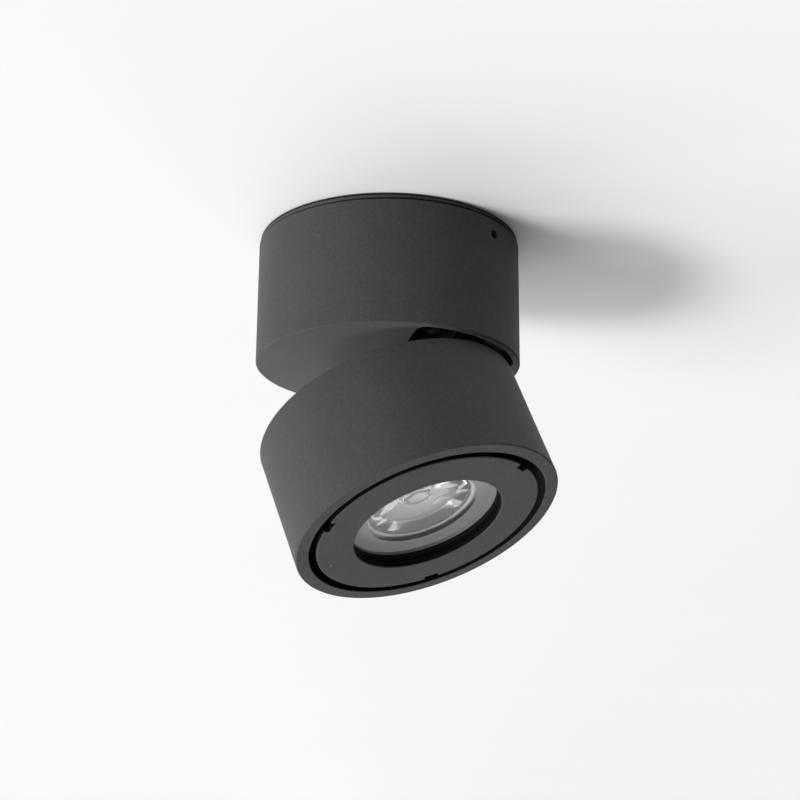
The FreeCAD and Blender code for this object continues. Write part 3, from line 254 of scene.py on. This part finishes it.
def powder_coat(name, colour, painted_shade_zone=None):
    """Fine textured matt powder coat, with a faint cloudiness and a few specks of dust.

    painted_shade_zone is where the coat is painted near black as shade and made fully rough."""
    nodes = new_material(name)
    cloud = nodes.ramp(nodes.noise(38, 3.0), scaled(colour, 0.95), scaled(colour, 1.05))
    fine = nodes.calc("MULTIPLY", nodes.noise(1900, 2.5, 0.6), 0.6)
    coarse = nodes.calc("MULTIPLY", nodes.noise(800), 0.4)
    texture = nodes.calc("ADD", fine, coarse)
    shade = nodes.ramp(texture, PIT_SHADE, PEAK_SHADE, low=0.37, high=0.63)
    tint = dusted(nodes, nodes.mix(1.0, cloud, shade, "MULTIPLY"))
    roughness = nodes.spread(texture, 0.54, 0.70)
    if painted_shade_zone:
        # painted shade: near black where shade falls in recesses and gaps, and fully rough there
        painted_shade_mask = nodes.inside(painted_shade_zone)
        tint = nodes.mix(painted_shade_mask, tint, PAINTED_SHADE_BLACK)
        roughness = nodes.calc("MAXIMUM", roughness, painted_shade_mask)
    relief = nodes.bump(texture, 0.17, 0.8, rounding=0.2)
    return nodes.finish(nodes.surface(tint, roughness, relief, Specular_IOR_Level=0.2))


def painted(name, colour, roughness, sheen):
    """Matt paint on metal."""
    nodes = new_material(name)
    grain = nodes.noise(1400)
    cloud = nodes.ramp(nodes.noise(60), scaled(colour, 0.85), scaled(colour, 1.15))
    rough = nodes.spread(grain, roughness - 0.07, roughness + 0.07)
    relief = nodes.bump(grain, 0.03, 0.6)
    return nodes.finish(nodes.surface(cloud, rough, relief, Specular_IOR_Level=sheen))


def cast_metal(name, colour, roughness=0.4):
    """Bare cast metal with an uneven skin."""
    nodes = new_material(name)
    grain = nodes.noise(700, 4.0, 0.65)
    cloud = nodes.ramp(nodes.noise(90, 3.0), scaled(colour, 0.86), scaled(colour, 1.06), high=0.72)
    rough = nodes.spread(grain, roughness - 0.1, roughness + 0.14)
    return nodes.finish(nodes.surface(cloud, rough, nodes.bump(grain, 0.04, 0.6), Metallic=1.0))


def turned_metal(name, colour, roughness=0.3):
    """Plated steel, brass or copper with fine marks."""
    nodes = new_material(name)
    marks = nodes.noise(2600)
    stain = nodes.ramp(nodes.noise(160, 3.0), scaled(colour, 0.8), scaled(colour, 1.05), low=0.32)
    rough = nodes.spread(marks, roughness - 0.07, roughness + 0.12)
    return nodes.finish(nodes.surface(stain, rough, nodes.bump(marks, 0.01, 0.5), Metallic=1.0))


def moulded(name, colour, roughness, shade_zone=None):
    """Moulded plastic or rubber. shade_zone is where it is painted black as shade; one with such a zone
    has less sheen all over.
    """
    nodes = new_material(name)
    pores = nodes.noise(1200, 3.0, 0.6)
    cloud = nodes.ramp(nodes.noise(70), scaled(colour, 0.94), scaled(colour, 1.04))
    if shade_zone:
        # painted shade: black where shade falls
        cloud = nodes.mix(nodes.inside(shade_zone), cloud, RUBBER_IN_SHADE)
    rough = nodes.spread(pores, roughness - 0.08, roughness + 0.1)
    relief = nodes.bump(pores, 0.02, 0.5)
    sheen = 0.15 if shade_zone else 0.5
    return nodes.finish(nodes.surface(cloud, rough, relief, Specular_IOR_Level=sheen))


def refracting(name, tint, ior, lamp_share):
    """Solid clear plastic that bends light. Lamps reach what is behind it with a share of their light."""
    nodes = new_material(name)
    solid = nodes.surface(tint, 0.05, Transmission_Weight=1.0, IOR=ior)
    path = nodes.add("ShaderNodeLightPath")
    let_through = nodes.see_through(scaled(WHITE, lamp_share))
    return nodes.finish(nodes.blend(path.outputs["Is Shadow Ray"], solid, let_through))


def pane(name, tint, ior, clear):
    """A flat pane: what lies behind it shows straight through, under the gloss of its outer face.

    Outside the clear zone, the outer face has a satin frosted border."""
    nodes = new_material(name)
    side = nodes.add("ShaderNodeNewGeometry")
    front = nodes.calc("SUBTRACT", 1.0, side.outputs["Backfacing"])
    reflection = nodes.add("ShaderNodeFresnel", IOR=ior)
    share = nodes.calc("MULTIPLY", reflection.outputs[0], front)
    glass = nodes.blend(share, nodes.see_through(tint), nodes.surface(WHITE, 0.16, Metallic=1.0))
    grain = nodes.noise(1500)
    etched = nodes.ramp(nodes.noise(60), FROST_DARK, FROST_LIGHT)
    satin = nodes.surface(etched, nodes.spread(grain, 0.45, 0.6), nodes.bump(grain, 0.01, 0.5))
    border = nodes.calc("SUBTRACT", 1.0, nodes.inside(clear))
    frost = nodes.calc("MULTIPLY", nodes.calc("MULTIPLY", border, front), FROST_COVER)
    return nodes.finish(nodes.blend(frost, glass, satin))


MATERIALS = {
    "black_powder_coat": powder_coat("coat", COAT),
    "black_paint": painted("black_paint", (0.010, 0.010, 0.010), 0.7, sheen=0.2),
    "black_anodised": painted("black_anodised", (0.003, 0.003, 0.003), 0.8, sheen=0.06),
    "cast_aluminium": cast_metal("cast_aluminium", (0.62, 0.63, 0.64)),
    "zinc_plated_steel": turned_metal("zinc", (0.70, 0.71, 0.72)),
    "black_steel": painted("black_steel", (0.008, 0.008, 0.008), 0.7, sheen=0.1),
    "brass": turned_metal("brass", (0.78, 0.58, 0.28)),
    "white_nylon": moulded("white_nylon", (0.62, 0.62, 0.60), 0.5),
    "black_plastic": moulded("black_plastic", (0.02, 0.02, 0.021), 0.5),
    "light_grey_plastic": moulded("light_grey", (0.56, 0.56, 0.565), 0.5),
    "green_board": moulded("green_board", (0.03, 0.16, 0.07), 0.3),
    "ferrite": moulded("ferrite", (0.05, 0.05, 0.055), 0.55),
    "copper_winding": turned_metal("copper", (0.72, 0.36, 0.18)),
    "capacitor_sleeve": moulded("capacitor_sleeve", (0.03, 0.04, 0.12), 0.25),
    "grey_rubber": moulded("grey_rubber", (0.24, 0.24, 0.245), 0.7, shade_zone=SEAL_SHADE),
    "black_rubber": moulded("black_rubber", (0.02, 0.02, 0.02), 0.75),
    "white_board": moulded("white_board", (0.60, 0.60, 0.585), 0.4),
    "phosphor": moulded("phosphor", (0.10, 0.098, 0.088), 0.45),
    "clear_acrylic": refracting("acrylic", CLEAR, ior=1.49, lamp_share=0.09),
    "clear_glass": pane("glass", CLEAR, ior=1.6, clear=GLASS_CLEAR),
}
# nodes with a finish of their own, in place of their slot's
OWN_FINISH = {
    "housing_shell": powder_coat("housing_coat", COAT, painted_shade_zone=HOUSING_INSIDE),
    "head_shell": powder_coat("head_coat", COAT, painted_shade_zone=HEAD_INSIDE),
    "front_ring": powder_coat("ring_coat", COAT, painted_shade_zone=RING_INSIDE),
    "ceiling_base": powder_coat("base_coat", COAT, painted_shade_zone=BASE_CEILING_SHADOW),
    # painted shade: the bracket screws are near black in place of their slot's finish, standing in for the
    # shade of the recess they sit in
    "bracket_screws": painted("screws_in_painted_shade", (0.006, 0.006, 0.006), 0.7, sheen=0.1),
}


def dress(thing, slot):
    thing.data.materials.clear()
    thing.data.materials.append(OWN_FINISH.get(thing.name, MATERIALS[slot]))
    for face in thing.data.polygons:
        face.material_index = 0


for part in record["subparts"]:
    dress(frame["nodes"][part["node"]], part["material_slot"])


# ---- finer pieces of the head ------------------------------------------------------------------

def curve(points, steps):
    """A smooth line through a few points, as radius and level."""
    line = []
    padded = [points[0], *points, points[-1]]
    for before, start, end, after in zip(padded, padded[1:], padded[2:], padded[3:]):
        for step in range(steps):
            t = step / steps
            line.append(tuple(
                0.5 * (
                    2 * b + (c - a) * t + (2 * a - 5 * b + 4 * c - d) * t * t
                    + (3 * b - a - 3 * c + d) * t * t * t
                )
                for a, b, c, d in zip(before, start, end, after)
            ))
    return [*line, points[-1]]


def lathe(name, outline, body, slot, node, around=180, sharp=32):
    """A turned piece about the head's axis, in place of a node.

    The outline is radius and level in millimetres, in the head's own frame. One that starts and
    ends on the axis gives a solid piece, and one that stays off it is closed into a ring."""
    mesh = bmesh.new()
    rings = []
    for radius, level in outline:
        ring = []
        for step in range(around if radius > 0 else 1):
            angle = 2 * math.pi * step / around
            spot = Vector((radius * math.cos(angle), radius * math.sin(angle), level)) * MM
            ring.append(mesh.verts.new(HEAD @ spot))
        rings.append(ring)
    pairs = list(zip(rings, rings[1:]))
    if len(rings[0]) > 1:
        pairs.append((rings[-1], rings[0]))
    for lower, upper in pairs:
        for step in range(around):
            after = (step + 1) % around
            corners = [
                lower[step % len(lower)], lower[after % len(lower)],
                upper[after % len(upper)], upper[step % len(upper)],
            ]
            mesh.faces.new(list(dict.fromkeys(corners)))
    bmesh.ops.recalc_face_normals(mesh, faces=mesh.faces)
    data = bpy.data.meshes.new(name)
    mesh.to_mesh(data)
    mesh.free()
    data.shade_smooth()
    data.set_sharp_from_angle(angle=math.radians(sharp))
    data.materials.append(MATERIALS[slot])
    thing = bpy.data.objects.new(name, data)
    scene.collection.objects.link(thing)
    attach(thing, body)
    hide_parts(node)


# what lies in the cup's seat: the plate with the lens in its bore, the glass and the seal
SEAT_RADIUS = 33.9

LENS_RADIUS = 19.46
LENS_FRONT = -37.82
LENS_BACK = -23.05
lathe("lens_moulding", [
    (0.0, LENS_FRONT), (10.0, LENS_FRONT), (19.1, LENS_FRONT), (19.35, -37.74),
    (LENS_RADIUS, -37.5), (LENS_RADIUS, -36.0), (19.3, -35.86),
    (18.3, -35.7), (15.2, -29.5), (7.5, LENS_BACK), (6.5, LENS_BACK),
    *curve([(6.5, -23.3), (6.1, -26.0), (5.6, -28.1)], 5),
    *curve([(5.4, -28.35), (3.4, -27.5), (1.7, -27.1), (0.0, -27.0)], 5),
], "head", "clear_acrylic", "lens", sharp=20)

GLASS_RADIUS = 33.95
GLASS_FLAT = 33.6
GLASS_FRONT = -39.83
GLASS_BACK = -38.05
lathe("glass_disc", [
    (0.0, GLASS_FRONT), (GLASS_FLAT, GLASS_FRONT), (GLASS_RADIUS, -39.5),
    (GLASS_RADIUS, -38.4), (GLASS_FLAT, GLASS_BACK), (0.0, GLASS_BACK),
], "head", "clear_glass", "front_glass")

PLATE_BORE = 19.62
PLATE_FRONT = -37.83
PLATE_BACK = -36.4
lathe("plate_ring", [
    (20.5, PLATE_FRONT), (27.0, PLATE_FRONT), (SEAT_RADIUS, PLATE_FRONT),
    (SEAT_RADIUS, PLATE_BACK), (PLATE_BORE, PLATE_BACK), (PLATE_BORE, -37.3), (19.75, -37.6),
], "head", "light_grey_plastic", "lens_plate", sharp=12)

SEAL_BORE = 28.25
SEAL_LIP = 28.12
SEAL_FRONT = -42.8
SEAL_BACK = -39.9
lathe("seal_ring", [
    (SEAL_BORE, SEAL_FRONT), (SEAT_RADIUS, SEAL_FRONT), (SEAT_RADIUS, SEAL_BACK),
    (SEAL_BORE, SEAL_BACK), (SEAL_LIP, -40.3), (28.1, -41.4), (SEAL_LIP, -42.4),
], "head", "grey_rubber", "glass_seal")

# even light reaches the glass right up to its seal, so what frames it casts no shadow on it
for name in ("front_ring", "optic_cup", "seal_ring"):
    bpy.data.objects[name].visible_shadow = False


# ---- camera ------------------------------------------------------------------------------------

# The photograph's frame has X to the right, Y away from the camera and Z up.
PHOTO_ANGLE = math.radians(38.67)
PHOTO_TURN = Matrix.Rotation(PHOTO_ANGLE, 4, "Z")
EYE_AT = PHOTO_TURN @ Vector((4.725, -611.7, -254.55)) * MM
PITCH = math.radians(17.43)
ROLL = math.radians(0.455)
FIELD_OF_VIEW = math.radians(26.47)

eye = bpy.data.objects.new("eye", bpy.data.cameras.new("eye"))
scene.collection.objects.link(eye)
scene.camera = eye
eye.data.sensor_fit = "HORIZONTAL"
eye.data.sensor_width = 36.0
eye.data.angle = FIELD_OF_VIEW
eye.data.clip_start = 0.01
eye.data.clip_end = 60.0
look = Matrix.Rotation(math.radians(90) + PITCH, 4, "X") @ Matrix.Rotation(ROLL, 4, "Z")
eye.matrix_world = Matrix.Translation(EYE_AT) @ PHOTO_TURN @ look


# ---- lamps -------------------------------------------------------------------------------------

def lamp(name, towards, spread, strength, mirrored=True):
    """A distant soft lamp. towards is where it stands, seen from the object, in the photograph's frame."""
    data = bpy.data.lights.new(name, "SUN")
    data.angle = math.radians(spread)
    data.energy = strength
    thing = bpy.data.objects.new(name, data)
    scene.collection.objects.link(thing)
    direction = (PHOTO_TURN @ Vector(towards)).normalized()
    thing.rotation_euler = direction.to_track_quat("Z", "Y").to_euler()
    thing.visible_glossy = mirrored


lamp("key", (-0.64, -0.40, -0.92), 15, 1.42)
lamp("key_side", (-1.0, -0.8, -0.8), 20, 0.60)
lamp("left", (-1.0, -0.1, -0.35), 40, 1.32)
lamp("behind", (-0.3, 0.8, -0.6), 80, 1.55)
lamp("below", (-0.1, 0.0, -1.0), 60, 0.36, mirrored=False)
lamp("above", (0.0, 0.0, 1.0), 60, 0.60, mirrored=False)


# ---- ceiling -----------------------------------------------------------------------------------

CEILING_REACH = 8.0
CEILING_CLEARANCE = 0.5 * MM
PLASTER_DARK = (0.905, 0.893, 0.915)
PLASTER_LIGHT = (0.915, 0.902, 0.925)
PLASTER_FOR_BOUNCES = (0.54, 0.54, 0.55)
PLASTER_GLOW = 0.04


def white_ceiling():
    """White plaster with a painted fall-off of light that darkens it a little to the right, and that gives
    back less light than its colour.

    It is clear when it is seen from above."""
    nodes = new_material("ceiling")
    turned = nodes.add("ShaderNodeVectorRotate", rotation_type="Z_AXIS", Angle=-PHOTO_ANGLE)
    nodes.link(nodes.place, turned.inputs["Vector"])
    parts = nodes.add("ShaderNodeSeparateXYZ")
    nodes.link(turned.outputs[0], parts.inputs[0])
    # painted fall-off of light: the plaster darkens towards the right
    painted_falloff = nodes.spread(parts.outputs[0], 1.0, 0.92, start=-0.15, end=0.30, kind="SMOOTHSTEP")
    plaster = nodes.ramp(nodes.noise(3.0, 4.0), PLASTER_DARK, PLASTER_LIGHT)
    plaster = nodes.mix(1.0, plaster, painted_falloff, "MULTIPLY")
    path = nodes.add("ShaderNodeLightPath")
    plaster = nodes.mix(path.outputs["Is Diffuse Ray"], plaster, PLASTER_FOR_BOUNCES)
    matt = nodes.add("ShaderNodeBsdfDiffuse")
    nodes.link(plaster, matt.inputs["Color"])
    glow = nodes.add("ShaderNodeEmission", Color=(1.0, 0.99, 1.0, 1.0))
    seen_glow = nodes.calc("MULTIPLY", path.outputs["Is Camera Ray"], PLASTER_GLOW)
    nodes.link(seen_glow, glow.inputs["Strength"])
    white = nodes.add("ShaderNodeAddShader")
    nodes.link(matt.outputs[0], white.inputs[0])
    nodes.link(glow.outputs[0], white.inputs[1])
    side = nodes.add("ShaderNodeNewGeometry")
    shown = nodes.blend(side.outputs["Backfacing"], white.outputs[0], nodes.see_through())
    return nodes.finish(shown)


ceiling_mesh = bpy.data.meshes.new("ceiling")
corners = [(x * CEILING_REACH, y * CEILING_REACH, 0) for x, y in ((-1, -1), (1, -1), (1, 1), (-1, 1))]
ceiling_mesh.from_pydata(corners, [], [(3, 2, 1, 0)])
ceiling_mesh.materials.append(white_ceiling())
ceiling = bpy.data.objects.new("ceiling", ceiling_mesh)
scene.collection.objects.link(ceiling)
ceiling.location.z = CEILING_CLEARANCE
ceiling.visible_shadow = False


# ---- room --------------------------------------------------------------------------------------

def pale_room():
    """A room that is pale to the camera and lights the object only dimly."""
    nodes = Nodes(bpy.data.worlds.new("room"), "ShaderNodeOutputWorld")
    rays = nodes.add("ShaderNodeLightPath").outputs
    shown = nodes.backdrop((0.97, 0.98, 1.0), 0.03)
    for ray, colour, strength in (
        ("Is Glossy Ray", (0.98, 0.98, 1.0), 0.12),
        ("Is Transmission Ray", (0.98, 0.98, 0.99), 0.6),
        ("Is Camera Ray", (0.98, 0.975, 0.985), 1.0),
    ):
        shown = nodes.blend(rays[ray], shown, nodes.backdrop(colour, strength))
    return nodes.finish(shown)


scene.world = pale_room()
scene.view_settings.view_transform = "Standard"
